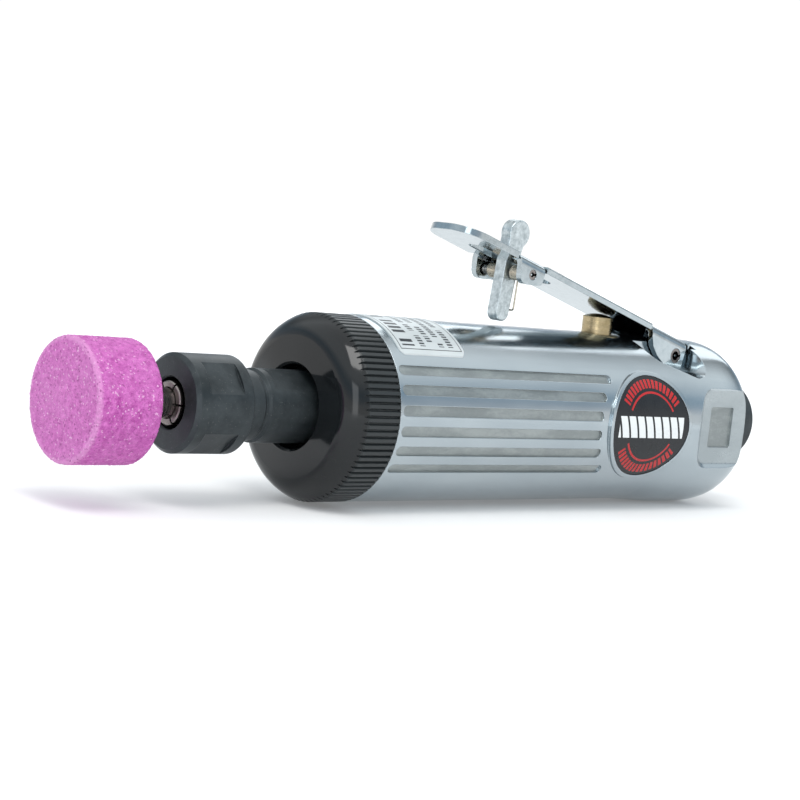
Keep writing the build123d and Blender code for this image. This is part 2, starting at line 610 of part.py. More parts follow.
def outer_race(bearing, x):
    inner_r = bearing["pitch"] + bearing["ball"] * RACE_SHARE
    ring = tube(bearing["outer"], inner_r, x + GAP, x + bearing["width"] - GAP)
    return ring - bearing_groove(bearing, x)


def inner_race(bearing, x):
    outer_r = bearing["pitch"] - bearing["ball"] * RACE_SHARE
    ring = tube(outer_r, bearing["bore"], x + GAP, x + bearing["width"] - GAP)
    return ring - bearing_groove(bearing, x)


def ball_places(bearing, x):
    middle = x + bearing["width"] / 2
    for step in range(bearing["balls"]):
        angle = 2 * pi * step / bearing["balls"]
        yield Pos(middle, bearing["pitch"] * cos(angle), bearing["pitch"] * sin(angle))


def ball_set(bearing, x):
    return Compound([place * Sphere(bearing["ball"]) for place in ball_places(bearing, x)])


def ball_cage(bearing, x):
    middle, half = x + bearing["width"] / 2, bearing["ball"] + 0.5
    cage = tube(bearing["pitch"] + 0.5, bearing["pitch"] - 0.5, middle - half, middle + half)
    for place in ball_places(bearing, x):
        cage -= place * Sphere(bearing["ball"] + 0.06)
    return cage


def bearing_shield(bearing, x):
    """Pressed steel cover in the front face of the front bearing."""
    end = x + bearing["width"]
    inner_r = bearing["pitch"] - bearing["ball"] * RACE_SHARE
    seat_r = bearing["pitch"] + bearing["ball"] * RACE_SHARE
    return tube(seat_r - GAP, inner_r + SHIELD_GAP, end + SHIELD_X[0], end + SHIELD_X[1])


def knurl_outline():
    """Closed outline of the knurled rim, one trapezoid rib after another."""
    points = []
    pitch = 2 * pi / KNURL_RIBS
    crest, foot = KNURL_RIB
    root = RING_R - KNURL_DEPTH
    for rib in range(KNURL_RIBS):
        for part, r in ((-crest, RING_R), (crest, RING_R), (foot, root), (1 - foot, root)):
            angle = (rib + part) * pitch
            points.append((r * cos(angle), r * sin(angle)))
    return make_face(Polyline(*points, close=True))


def clamp_ring():
    """Knurled nose ring that screws into the housing and holds the motor."""
    start = BODY_FRONT - 1
    edge = KNURL_FRONT - KNURL_TO_NOSE
    outer = Polyline((start, 0), (start, RING_R + 1), (edge, RING_R + 1), (edge, RING_R))
    bow = Bezier((edge, RING_R), (edge + 2.4, RING_R - NOSE_DROP),
                 (RING_FRONT - NOSE_DROP, NOSE_R), (RING_FRONT - FACE_DROP, FACE_R))
    face = Polyline((RING_FRONT - FACE_DROP, FACE_R), (RING_FRONT, RING_BORE_R + 0.4),
                    (RING_FRONT, 0), (start, 0))
    nose = revolve(Plane.XZ * make_face(outer + bow + face), Axis.X)
    ring = nose & extrude(Plane.YZ.offset(BODY_FRONT + GAP) * knurl_outline(), RING_FRONT - BODY_FRONT)
    ring += tube(MOTOR_R - GAP, RING_INNER_R, FRONT_PLATE[1], BODY_FRONT + 1)
    ring -= rod(RING_INNER_R, FRONT_PLATE[1] - 1, RING_WALL_X)
    ring -= rod(RING_BORE_R, RING_WALL_X - 1, RING_FRONT + 1)
    return ring - mouth_chamfer(RING_FRONT, RING_BORE_R, 0.5)


def spindle():
    """Collet body: screws on the rotor stub, carries the nut thread and the collet taper."""
    x0, x1 = SPINDLE_REAR, SPINDLE_FRONT
    groove0, groove1, depth = SPINDLE_GROOVE
    body = turned((x0 + GAP, 0), (x0 + GAP, SPINDLE_HEEL_R), (x0 + 2.5, SPINDLE_HEEL_R),
                  (x0 + 2.5, SPINDLE_R - 0.4), (x0 + 2.9, SPINDLE_R), (groove0, SPINDLE_R),
                  (groove0 + 0.5, SPINDLE_R - depth), (groove1, SPINDLE_R - depth),
                  (groove1 + 0.3, SPINDLE_NECK_R), (NUT[0], SPINDLE_NECK_R), (NUT[0], NUT_THREAD_R),
                  (x1 - 0.6, NUT_THREAD_R), (x1, NUT_THREAD_R - 0.6), (x1, 0))
    body -= rod(STUB_R, x0 - 1, x0 + STUB_LENGTH + 0.5)
    body -= rod(SHANK_R + 0.4, SHANK_REAR - 2, x1)
    body -= turned((TAPER_REAR, 0), (TAPER_REAR, TAPER_R[0]), (TAPER_FRONT, TAPER_R[1]),
                   (x1 + 1, TAPER_R[1]), (x1 + 1, 0))
    flat = Pos(SPINDLE_FLAT_X, SPINDLE_FLAT + 2, 0) * Box(SPINDLE_FLAT_LENGTH, *WRENCH_CUT)
    for side in (0, 180):
        body -= Rot(SPINDLE_FLAT_ANGLE + side, 0, 0) * flat
    return body


def collet():
    """Slit 6 mm collet with a cone at each end."""
    bore, wide = SHANK_R + 0.01, TAPER_R[1] - 0.04
    front = COLLET_FRONT
    body = turned((COLLET_REAR, bore), (COLLET_REAR, TAPER_R[0]), (TAPER_FRONT, wide),
                  (COLLET_LAND[0], wide), (COLLET_LAND[1], COLLET_R), (front - COLLET_EDGE, COLLET_R),
                  (front, COLLET_R - COLLET_EDGE), (front, SHANK_R + COLLET_EDGE),
                  (front - COLLET_EDGE, bore))
    for angle in range(0, 180, 60):
        slit = Pos(TAPER_FRONT - 1, 0, 0) * Box(16, 12, COLLET_SLIT)
        body -= Rot(angle, 0, 0) * (slit & tube(8, SHANK_R - 0.5, COLLET_SLIT_REAR, front + 1))
    return body


def collet_nut():
    x0, x1 = NUT
    nut = turned((x0 + GAP, 0), (x0 + GAP, NUT_R - NUT_BEVEL / 2), (x0 + NUT_BEVEL / 2, NUT_R),
                 (x1 - NUT_BEVEL, NUT_R), (x1, NUT_R - NUT_BEVEL), (x1, 0))
    nut -= rod(NUT_THREAD_R + GAP, x0 - 1, NUT_THREAD_END)
    nut -= rod(NUT_MOUTH_R, NUT_THREAD_END - 1, x1 + 1)
    nut -= mouth_chamfer(x1, NUT_MOUTH_R, 0.3)
    pocket = Pos(NUT_POCKET_X, NUT_FLAT + 2, 0) * Box(NUT_POCKET_LENGTH, *WRENCH_CUT)
    for angle in range(0, 360, 90):
        nut -= Rot(NUT_FLAT_ANGLE + angle, 0, 0) * pocket
    return nut


def stone_shank():
    x0, x1 = SHANK_REAR, STONE[1] - SHANK_IN_STONE
    return turned((x0, 0), (x0, SHANK_R - 0.4), (x0 + 0.4, SHANK_R), (x1, SHANK_R), (x1, 0))


def grinding_stone():
    stone = rod(STONE_R, *STONE)
    stone = fillet(stone.edges(), STONE_EDGE)
    return stone - rod(SHANK_R + 0.01, STONE[0] - 1, STONE[1] - SHANK_IN_STONE)


MODEL = {
    "housing": housing,
    "side_badge_left": side_badge,
    "side_badge_right": lambda: mirror(side_badge(), Plane.XZ),
    "spec_label": spec_label,
    "inlet_bushing": inlet_bushing,
    "inlet_gasket": inlet_gasket,
    "inlet_screen": inlet_screen,
    "valve_bushing": valve_bushing,
    "bushing_o_ring": bushing_o_ring,
    "valve_plunger": valve_plunger,
    "plunger_o_ring": plunger_o_ring,
    "valve_ball": valve_ball,
    "valve_spring": valve_spring,
    "throttle_lever": throttle_lever,
    "lever_pin": lever_pin,
    "lock_lever": lock_lever,
    "lock_pin": lock_pin,
    "lock_spring": lock_spring,
    "plate_gasket": plate_gasket,
    "rear_end_plate": rear_end_plate,
    "front_end_plate": front_end_plate,
    "cylinder_liner": cylinder_liner,
    "liner_dowel": liner_dowel,
    "rotor": rotor,
    "rear_outer_race": lambda: outer_race(REAR_BEARING, REAR_BEARING_X),
    "rear_inner_race": lambda: inner_race(REAR_BEARING, REAR_BEARING_X),
    "rear_balls": lambda: ball_set(REAR_BEARING, REAR_BEARING_X),
    "rear_cage": lambda: ball_cage(REAR_BEARING, REAR_BEARING_X),
    "front_outer_race": lambda: outer_race(FRONT_BEARING, FRONT_BEARING_X),
    "front_inner_race": lambda: inner_race(FRONT_BEARING, FRONT_BEARING_X),
    "front_balls": lambda: ball_set(FRONT_BEARING, FRONT_BEARING_X),
    "front_cage": lambda: ball_cage(FRONT_BEARING, FRONT_BEARING_X),
    "front_shield": lambda: bearing_shield(FRONT_BEARING, FRONT_BEARING_X),
    "clamp_ring": clamp_ring,
    "spindle": spindle,
    "collet": collet,
    "collet_nut": collet_nut,
    "stone_shank": stone_shank,
    "grinding_stone": grinding_stone,
}
for index in range(4):
    MODEL[f"vane_{index + 1}"] = lambda index=index: vane(90 * index)

for node, make in MODEL.items():
    export_step(make(), f"parts/{node}.step")
    print(node)
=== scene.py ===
import json
from math import cos, pi, radians, sin

import bmesh
import bpy
from mathutils import Matrix, Vector, noise

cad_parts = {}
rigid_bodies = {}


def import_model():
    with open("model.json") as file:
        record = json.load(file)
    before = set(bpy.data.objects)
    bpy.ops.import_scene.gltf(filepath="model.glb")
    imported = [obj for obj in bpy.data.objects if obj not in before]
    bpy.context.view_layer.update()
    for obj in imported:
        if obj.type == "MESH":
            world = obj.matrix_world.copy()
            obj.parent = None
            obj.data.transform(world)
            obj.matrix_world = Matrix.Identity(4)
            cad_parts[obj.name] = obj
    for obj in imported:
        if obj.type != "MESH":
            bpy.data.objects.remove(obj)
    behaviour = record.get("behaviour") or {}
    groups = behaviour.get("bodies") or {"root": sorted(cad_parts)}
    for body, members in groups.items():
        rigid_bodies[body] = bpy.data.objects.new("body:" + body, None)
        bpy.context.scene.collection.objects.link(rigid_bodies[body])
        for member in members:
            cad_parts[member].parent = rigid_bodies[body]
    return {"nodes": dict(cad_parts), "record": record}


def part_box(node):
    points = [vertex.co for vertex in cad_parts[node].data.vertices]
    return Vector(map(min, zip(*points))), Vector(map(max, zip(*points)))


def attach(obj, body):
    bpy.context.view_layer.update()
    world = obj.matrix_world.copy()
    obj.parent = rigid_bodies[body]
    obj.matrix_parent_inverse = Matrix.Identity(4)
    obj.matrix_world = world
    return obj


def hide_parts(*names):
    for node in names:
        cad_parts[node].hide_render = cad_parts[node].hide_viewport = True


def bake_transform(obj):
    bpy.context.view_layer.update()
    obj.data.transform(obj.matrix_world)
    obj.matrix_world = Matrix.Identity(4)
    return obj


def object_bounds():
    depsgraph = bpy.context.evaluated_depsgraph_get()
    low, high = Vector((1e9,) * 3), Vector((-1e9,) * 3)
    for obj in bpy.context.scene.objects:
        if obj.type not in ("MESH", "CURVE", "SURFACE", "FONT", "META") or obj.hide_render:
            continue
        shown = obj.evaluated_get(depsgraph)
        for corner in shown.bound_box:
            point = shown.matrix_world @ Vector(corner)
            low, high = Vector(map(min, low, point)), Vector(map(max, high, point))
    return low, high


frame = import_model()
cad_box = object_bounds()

MM = 0.001
NODES = frame["nodes"]
BEVEL_SAMPLES = 6


def clear_default_scene():
    for obj in list(bpy.data.objects):
        if obj.type in {"CAMERA", "LIGHT"} or obj.name == "Cube":
            bpy.data.objects.remove(obj)


# ---------------------------------------------------------------- shader helpers

def set_range(node, low, high, to_low, to_high):
    node.inputs["From Min"].default_value = low
    node.inputs["From Max"].default_value = high
    node.inputs["To Min"].default_value = to_low
    node.inputs["To Max"].default_value = to_high


def rgba(color):
    """A colour given as three numbers gets full opacity; a socket stays a socket."""
    return (*color, 1.0) if isinstance(color, tuple) else color


class Graph:
    """Short calls for building one material's nodes."""

    def __init__(self, name):
        self.material = bpy.data.materials.new(name)
        self.material.use_nodes = True
        self.tree = self.material.node_tree
        self.shader = self.tree.nodes["Principled BSDF"]
        self.place = self.tree.nodes.new("ShaderNodeTexCoord").outputs["Object"]

    def node(self, kind, **values):
        made = self.tree.nodes.new(kind)
        for key, value in values.items():
            setattr(made, key, value)
        return made

    def link(self, source, target):
        self.tree.links.new(source, target)

    def fill(self, socket, value):
        if isinstance(value, bpy.types.NodeSocket):
            self.link(value, socket)
        else:
            socket.default_value = value

    def math(self, operation, a, b=0.0, c=0.0):
        made = self.node("ShaderNodeMath", operation=operation)
        for socket, value in zip(made.inputs, (a, b, c)):
            self.fill(socket, value)
        return made.outputs[0]

    def split(self, vector=None):
        made = self.node("ShaderNodeSeparateXYZ")
        self.fill(made.inputs[0], vector or self.place)
        return made.outputs

    def join(self, x, y, z):
        made = self.node("ShaderNodeCombineXYZ")
        for socket, value in zip(made.inputs, (x, y, z)):
            self.fill(socket, value)
        return made.outputs[0]

    def stretched(self, scale):
        made = self.node("ShaderNodeMapping")
        self.link(self.place, made.inputs["Vector"])
        made.inputs["Scale"].default_value = scale
        return made.outputs[0]

    def noise(self, scale, detail=3.0, roughness=0.5, vector=None):
        made = self.node("ShaderNodeTexNoise")
        self.link(vector or self.place, made.inputs["Vector"])
        made.inputs["Scale"].default_value = scale
        made.inputs["Detail"].default_value = detail
        made.inputs["Roughness"].default_value = roughness
        return made.outputs["Fac"]

    def cells(self, scale, feature="F1", output="Distance", vector=None):
        made = self.node("ShaderNodeTexVoronoi", feature=feature)
        self.link(vector or self.place, made.inputs["Vector"])
        made.inputs["Scale"].default_value = scale
        return made.outputs[output]

    def remap(self, value, low, high, to_low=0.0, to_high=1.0):
        made = self.node("ShaderNodeMapRange")
        self.link(value, made.inputs["Value"])
        set_range(made, low, high, to_low, to_high)
        return made.outputs["Result"]

    def past(self, value, edge):
        """Rises from 0 to 1 between the edge's first and second distance, in millimetres."""
        return self.remap(value, edge[0] * MM, edge[1] * MM)

    def length(self, a, b):
        squares = self.math("ADD", self.math("MULTIPLY", a, a), self.math("MULTIPLY", b, b))
        return self.math("SQRT", squares)

    def both(self, *masks):
        """1 where every mask is 1."""
        result = masks[0]
        for mask in masks[1:]:
            result = self.math("MULTIPLY", result, mask)
        return result

    def mix(self, factor, a, b):
        made = self.node("ShaderNodeMix", data_type="RGBA")
        self.fill(made.inputs["Factor"], factor)
        self.fill(made.inputs[6], rgba(a))
        self.fill(made.inputs[7], rgba(b))
        return made.outputs[2]

    def bump(self, height, distance, strength=1.0, under=None):
        made = self.node("ShaderNodeBump")
        self.link(height, made.inputs["Height"])
        made.inputs["Distance"].default_value = distance
        made.inputs["Strength"].default_value = strength
        if under is not None:
            self.link(under, made.inputs["Normal"])
        return made.outputs["Normal"]

    def worn_edges(self, radius):
        """Normal that rounds sharp edges by this radius."""
        made = self.node("ShaderNodeBevel")
        made.samples = BEVEL_SAMPLES
        made.inputs["Radius"].default_value = radius
        return made.outputs["Normal"]

    def finish(self, color, roughness, metallic=0.0, normal=None, **plain):
        self.fill(self.shader.inputs["Base Color"], rgba(color))
        self.fill(self.shader.inputs["Roughness"], roughness)
        self.shader.inputs["Metallic"].default_value = metallic
        for name, value in plain.items():
            self.shader.inputs[name.replace("_", " ")].default_value = value
        if normal is not None:
            self.link(normal, self.shader.inputs["Normal"])
        return self.material


# ---------------------------------------------------------------- materials

# Soft borders of the blasted areas of the housing, in millimetres
FLUTED_X = (64.0, 65.0)         # the barrel is fluted from here to the front
FLUTE_R = (19.93, 19.80)        # a point below this radius lies in a flute
PANEL_Z = (5.1, 5.0)            # half height and depth of the sunk panels at the rear
PANEL_Y = (16.95, 16.85)
FLAT_Z = (9.4, 9.1)             # half height and depth of the flats round the panels
FLAT_Y = (17.45, 17.25)
REAR_X = (31.0, 30.5)
OUTSIDE_R = (16.6, 16.7)        # the bores inside this radius stay bright
FLAT_SATIN = 0.45


def blasted_areas(g):
    """1 in the flutes and the sunk panels, and less on the flats round the panels."""
    x, y, z = g.split()
    radius = g.length(y, z)
    in_barrel = g.both(g.past(x, FLUTED_X), g.past(radius, FLUTE_R))
    height, side = g.math("ABSOLUTE", z), g.math("ABSOLUTE", y)
    in_panel = g.both(g.past(height, PANEL_Z), g.past(side, PANEL_Y))
    on_flat = g.both(g.past(height, FLAT_Z), g.past(side, FLAT_Y))
    at_rear = g.past(x, REAR_X)
    outside = g.past(radius, OUTSIDE_R)
    flutes = g.both(in_barrel, outside)
    panel = g.both(in_panel, at_rear, outside)
    flat = g.both(on_flat, at_rear, FLAT_SATIN)
    return g.math("MAXIMUM", g.math("MAXIMUM", flutes, panel), flat)


def polished_aluminium():
    """Buffed casting: lengthwise haze and scratches, with matt blasted flutes and panels."""
    g = Graph("polished_aluminium")
    satin = blasted_areas(g)
    haze = g.noise(60, 4, 0.6)
    lines = g.noise(900, 2, 0.5, g.stretched((0.12, 1, 1)))
    smears = g.noise(38, 3, 0.55, g.stretched((0.5, 1, 1)))
    scratched = g.math("MULTIPLY", g.remap(lines, 0.35, 0.75), 0.07)
    buffed_rough = g.math("ADD", g.remap(haze, 0.3, 0.7, 0.11, 0.18), scratched)
    buffed = g.mix(g.remap(smears, 0.35, 0.7), (0.36, 0.41, 0.44), (0.475, 0.525, 0.55))
    grain = g.noise(2300, 3, 0.6)
    stains = g.remap(g.noise(160, 5, 0.7, g.stretched((0.35, 1, 1))), 0.42, 0.70)
    clean = g.math("SUBTRACT", grain, g.math("MULTIPLY", stains, 0.9))
    blasted = g.mix(clean, (0.28, 0.305, 0.305), (0.44, 0.47, 0.465))
    blasted_rough = g.remap(grain, 0.3, 0.7, 0.40, 0.55)
    color = g.mix(satin, buffed, blasted)
    roughness = g.math("ADD", g.math("MULTIPLY", g.math("SUBTRACT", 1.0, satin), buffed_rough),
                       g.math("MULTIPLY", satin, blasted_rough))
    polished = g.bump(lines, 0.005 * MM, 0.6, g.worn_edges(0.25 * MM))
    normal = g.bump(g.math("MULTIPLY", grain, satin), 0.03 * MM, 0.7, polished)
    return g.finish(color, roughness, 1.0, normal)


def black_oxide():
    """Blackened turned steel with faint tool rings and rubbed patches."""
    g = Graph("black_oxide")
    tone = g.noise(140, 5, 0.65)
    turning = g.noise(1500, 2, 0.5, g.stretched((1, 0.04, 0.04)))
    specks = g.remap(g.noise(2600, 2, 0.5), 0.66, 0.72)
    base = g.mix(g.remap(tone, 0.35, 0.7), (0.020, 0.026, 0.029), (0.050, 0.060, 0.065))
    color = g.mix(g.math("MULTIPLY", specks, 0.35), base, (0.16, 0.16, 0.155))
    rough = g.math("ADD", g.remap(tone, 0.3, 0.7, 0.30, 0.42), g.math("MULTIPLY", turning, 0.08))
    normal = g.bump(turning, 0.006 * MM, 0.6, g.worn_edges(0.15 * MM))
    return g.finish(color, rough, 0.55, normal, Specular_IOR_Level=0.45)


KNURL_X = (138.9, 138.5)        # the duller ribbed grip ends here


def ring_black():
    """Glossy black moulding with fine dust and handling marks."""
    g = Graph("ring_black")
    ribbed = g.past(g.split()[0], KNURL_X)
    tone = g.noise(90, 3, 0.5)
    fine = g.noise(1800, 2, 0.5)
    dust = g.remap(g.noise(1300, 4, 0.7), 0.66, 0.80)
    base = g.mix(tone, (0.005, 0.006, 0.007), (0.010, 0.012, 0.013))
    base = g.mix(g.math("MULTIPLY", ribbed, 0.6), base, (0.030, 0.036, 0.038))
    color = g.mix(g.math("MULTIPLY", dust, 0.22), base, (0.15, 0.14, 0.13))
    rough = g.math("ADD", g.remap(tone, 0.3, 0.7, 0.08, 0.13), g.math("MULTIPLY", ribbed, 0.26))
    normal = g.bump(fine, 0.002 * MM, 0.3, g.worn_edges(0.12 * MM))
    return g.finish(color, rough, 0.0, normal, Specular_IOR_Level=0.38)


def rubber_black():
    """Dull moulded rubber."""
    g = Graph("rubber_black")
    grain = g.noise(1500, 4, 0.6)
    color = g.mix(grain, (0.014, 0.014, 0.015), (0.03, 0.03, 0.032))
    return g.finish(color, g.remap(grain, 0.3, 0.7, 0.55, 0.7), 0.0, g.bump(grain, 0.01 * MM))


def ground_steel():
    """Ground hardened steel, slightly brown from oil."""
    g = Graph("ground_steel")
    tone = g.noise(160, 4, 0.6)
    rings = g.noise(1700, 2, 0.5, g.stretched((1, 0.05, 0.05)))
    color = g.mix(g.remap(tone, 0.3, 0.7), (0.15, 0.13, 0.125), (0.34, 0.315, 0.30))
    rough = g.remap(rings, 0.3, 0.7, 0.20, 0.34)
    return g.finish(color, rough, 1.0, g.bump(rings, 0.006 * MM, 0.6, g.worn_edges(0.08 * MM)))


def chrome_plate():
    """Bright plating over pressed sheet, with faint waves and handling marks."""
    g = Graph("chrome_plate")
    waves = g.noise(55, 2, 0.4)
    marks = g.noise(700, 3, 0.6)
    color = g.mix(g.remap(marks, 0.3, 0.7), (0.35, 0.40, 0.42), (0.46, 0.51, 0.53))
    rough = g.remap(marks, 0.4, 0.75, 0.08, 0.18)
    normal = g.bump(waves, 0.10 * MM, 0.5, g.worn_edges(0.22 * MM))
    return g.finish(color, rough, 1.0, normal)


def zinc_cast():
    """Tumbled zinc-plated casting: pitted, mottled and dull."""
    g = Graph("zinc_cast")
    mottle = g.noise(700, 5, 0.7)
    pits = g.cells(1500)
    color = g.mix(g.remap(mottle, 0.35, 0.68), (0.36, 0.41, 0.425), (0.72, 0.775, 0.79))
    height = g.math("ADD", mottle, g.math("MULTIPLY", pits, 0.5))
    normal = g.bump(height, 0.07 * MM, 0.8, g.worn_edges(0.3 * MM))
    return g.finish(color, g.remap(mottle, 0.3, 0.7, 0.28, 0.46), 1.0, normal)


def spring_steel():
    """Drawn wire, straw-coloured from tempering."""
    g = Graph("spring_steel")
    tone = g.noise(900, 3, 0.6)
    color = g.mix(tone, (0.30, 0.26, 0.20), (0.60, 0.55, 0.46))
    return g.finish(color, g.remap(tone, 0.3, 0.7, 0.20, 0.34), 1.0, g.bump(tone, 0.004 * MM))


def brass():
    """Turned brass with tool rings round its upright axis and a dull film."""
    g = Graph("brass")
    tone = g.noise(230, 4, 0.6)
    rings = g.noise(2200, 2, 0.5, g.stretched((0.06, 0.06, 1)))
    color = g.mix(g.remap(tone, 0.3, 0.75), (0.28, 0.22, 0.115), (0.50, 0.41, 0.26))
    rough = g.remap(rings, 0.3, 0.7, 0.20, 0.36)
    return g.finish(color, rough, 1.0, g.bump(rings, 0.006 * MM, 0.6, g.worn_edges(0.15 * MM)))


def machined_iron():
    """Grey iron with fine turning rings."""
    g = Graph("machined_iron")
    tone = g.noise(160, 4, 0.6)
    rings = g.noise(1500, 2, 0.5, g.stretched((1, 0.05, 0.05)))
    color = g.mix(tone, (0.18, 0.18, 0.185), (0.30, 0.30, 0.305))
    return g.finish(color, g.remap(rings, 0.3, 0.7, 0.3, 0.45), 1.0, g.bump(rings, 0.006 * MM))


def phenolic():
    """Brown laminated plastic with a lengthwise weave."""
    g = Graph("phenolic")
    weave = g.noise(1400, 4, 0.6, g.stretched((0.2, 1, 1)))
    color = g.mix(weave, (0.10, 0.05, 0.02), (0.20, 0.11, 0.05))
    return g.finish(color, g.remap(weave, 0.3, 0.7, 0.45, 0.6), 0.0, g.bump(weave, 0.01 * MM))


# The painted highlight on the rim and the painted lighter front face: distances in from the stone's
# edge, in millimetres
RIM_HIGHLIGHT_BAND = (1.5, 0.7)
RIM_HIGHLIGHT_LENGTH = (1.3, 0.6)
FACE_LIGHT_BAND = (0.5, 0.3)


def within(g, value, edge, band):
    """Rises from 0 to 1 as the value comes nearer to the edge, across the band."""
    return g.remap(value, edge - band[0] * MM, edge - band[1] * MM)


def abrasive_pink():
    """Bonded grains: magenta body, fine dark pores, small bright facets, a painted highlight on the
    rim and a painted lighter front face.
    """
    g = Graph("abrasive_pink")
    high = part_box("grinding_stone")[1]
    x, y, z = g.split()
    radius = g.length(y, z)
    value = g.split(g.cells(3400, output="Color"))[0]
    clumps = g.noise(760, 6, 0.8)
    broad = g.noise(110, 4, 0.6)
    base = g.mix(g.remap(clumps, 0.36, 0.64), (0.37, 0.045, 0.285), (0.68, 0.185, 0.555))
    base = g.mix(g.math("MULTIPLY", g.remap(broad, 0.38, 0.66), 0.40), base, (0.60, 0.20, 0.50))
    # Painted highlight along the front rim and the front face painted lighter, as where light falls on
    # them
    rim_highlight = g.both(within(g, radius, high[2], RIM_HIGHLIGHT_BAND), within(g, x, high[0], RIM_HIGHLIGHT_LENGTH))
    face_light = within(g, x, high[0], FACE_LIGHT_BAND)
    painted_light = g.math("MAXIMUM", g.math("MULTIPLY", rim_highlight, 0.62), g.math("MULTIPLY", face_light, 0.20))
    base = g.mix(painted_light, base, (0.74, 0.34, 0.63))
    facet = g.mix(g.remap(value, 0.94, 1.0), base, (0.76, 0.44, 0.67))
    color = g.mix(g.remap(value, 0.0, 0.07), (0.31, 0.06, 0.24), facet)
    height = g.math("ADD", g.cells(3000), g.math("MULTIPLY", clumps, 1.2))
    normal = g.bump(height, 0.22 * MM, 0.9)
    return g.finish(color, g.remap(value, 0.0, 1.0, 0.50, 0.85), 0.0, normal, Specular_IOR_Level=0.30)


def band_mask(g, value, low, high):
    """1 where the value lies between low and high."""
    return g.math("MULTIPLY", g.math("GREATER_THAN", value, low), g.math("LESS_THAN", value, high))


# Print on the label, in millimetres
LABEL_HALF_ARC = 16.3
LABEL_LINE = (0.7, 0.9)          # outer and inner inset of the printed frame
LABEL_ROW_HALF_ARC = 14.6
LABEL_ROWS = ((1.7, 5.2, 0.78),  # each row's start and end from the front, and the dashes' pitch
              (6.8, 8.3, 0.42), (9.5, 11.0, 0.42), (12.2, 13.7, 0.42), (14.9, 16.4, 0.42))
GAP_LEVEL = 0.40                 # noise below this leaves a gap between dashes
DASH_SHARE = 0.58                # inked share of a pitch
FAR = 40 * MM                    # keeps a repeating pattern on the positive side


def label_rows(g, around, front):
    """Plain dashes in rows round the barrel, with gaps at uneven places."""
    ink = None
    for start, end, pitch in LABEL_ROWS:
        gaps = g.noise(0.16 / (pitch * MM), 1, 0.5, g.join(around, start * MM, 0.0))
        dashes = g.math("GREATER_THAN", gaps, GAP_LEVEL)
        wave = g.math("PINGPONG", g.math("ADD", around, FAR), pitch * MM)
        fine = g.math("LESS_THAN", wave, DASH_SHARE * pitch * MM)
        in_reach = g.math("LESS_THAN", g.math("ABSOLUTE", around), LABEL_ROW_HALF_ARC * MM)
        row = g.both(band_mask(g, front, start * MM, end * MM), in_reach, dashes, fine)
        ink = row if ink is None else g.math("MAXIMUM", ink, row)
    return ink


def label_print():
    """Brushed foil with a printed frame and plain dashes in place of wording."""
    g = Graph("label_print")
    low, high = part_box("spec_label")
    x, y, z = g.split()
    around = g.math("MULTIPLY", g.math("ARCTAN2", y, z), high[2])
    front = g.math("SUBTRACT", high[0], x)
    across = g.math("ABSOLUTE", around)
    length = high[0] - low[0]

    def rim(inset):
        lengthwise = band_mask(g, front, inset * MM, length - inset * MM)
        return g.both(lengthwise, g.math("LESS_THAN", across, (LABEL_HALF_ARC - inset) * MM))

    line = g.math("SUBTRACT", rim(LABEL_LINE[0]), rim(LABEL_LINE[1]))
    ink = g.math("MAXIMUM", line, label_rows(g, around, front))
    brushed = g.noise(900, 3, 0.6, g.stretched((0.2, 1, 1)))
    foil = g.mix(brushed, (0.50, 0.54, 0.55), (0.62, 0.655, 0.66))
    color = g.mix(ink, foil, (0.03, 0.035, 0.04))
    return g.finish(color, g.remap(brushed, 0.3, 0.7, 0.32, 0.44), 0.25, g.bump(brushed, 0.003 * MM))


# Print on the badge: shares of its radius, half angles in degrees, and millimetres
BOW_BAND, BOW_REACH = (0.70, 0.87), 58
HAIR_BAND, HAIR_REACH = (0.60, 0.64), 62
BOW_PITCH, BOW_DASH = 0.062, 0.041
BAR_PITCH, BAR_WIDTH, BAR_SLANT = 1.45, 1.12, -0.3
CENTRE_ROW = (11.3, 2.5)         # half length and half height


def badge_print():
    """Black dome with two red bows of dashes, red hairlines and a pale centre row of bars."""
    g = Graph("badge_print")
    low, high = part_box("side_badge_left")
    centre_x, radius = (low[0] + high[0]) / 2, (high[0] - low[0]) / 2
    x, y, z = g.split()
    up = g.math("MULTIPLY", g.math("ARCTAN2", z, g.math("ABSOLUTE", y)), high[1])
    along = g.math("SUBTRACT", x, centre_x)
    reach = g.length(along, up)
    turn = g.math("ABSOLUTE", g.math("ARCTAN2", along, g.math("ABSOLUTE", up)))

    def arc(band, half_angle):
        ring = band_mask(g, reach, band[0] * radius, band[1] * radius)
        return g.both(ring, g.math("LESS_THAN", turn, radians(half_angle)))

    teeth = g.math("LESS_THAN", g.math("PINGPONG", turn, BOW_PITCH), BOW_DASH)
    red = g.math("MAXIMUM", g.both(arc(BOW_BAND, BOW_REACH), teeth), arc(HAIR_BAND, HAIR_REACH))
    slant = g.math("ADD", along, g.math("MULTIPLY", up, BAR_SLANT))
    wave = g.math("PINGPONG", g.math("ADD", slant, FAR), BAR_PITCH * MM)
    bars = g.math("LESS_THAN", wave, BAR_WIDTH * MM)
    half_length, half_height = CENTRE_ROW
    white = g.both(g.math("LESS_THAN", g.math("ABSOLUTE", up), half_height * MM),
                   g.math("LESS_THAN", g.math("ABSOLUTE", along), half_length * MM), bars)
    tone = g.noise(300, 3, 0.5)
    black = g.mix(tone, (0.008, 0.009, 0.011), (0.015, 0.017, 0.020))
    color = g.mix(white, g.mix(red, black, (0.45, 0.018, 0.02)), (0.74, 0.76, 0.76))
    height = g.math("MAXIMUM", red, white)
    return g.finish(color, g.remap(tone, 0.3, 0.7, 0.24, 0.34), 0.0, g.bump(height, 0.03 * MM, 0.7),
                    Specular_IOR_Level=0.3)


FLOOR_GLOW = (0.14, 0.60)        # glow under the object and far away from it
FLOOR_GLOW_REACH = (250, 700)    # the glow grows between these distances, in millimetres


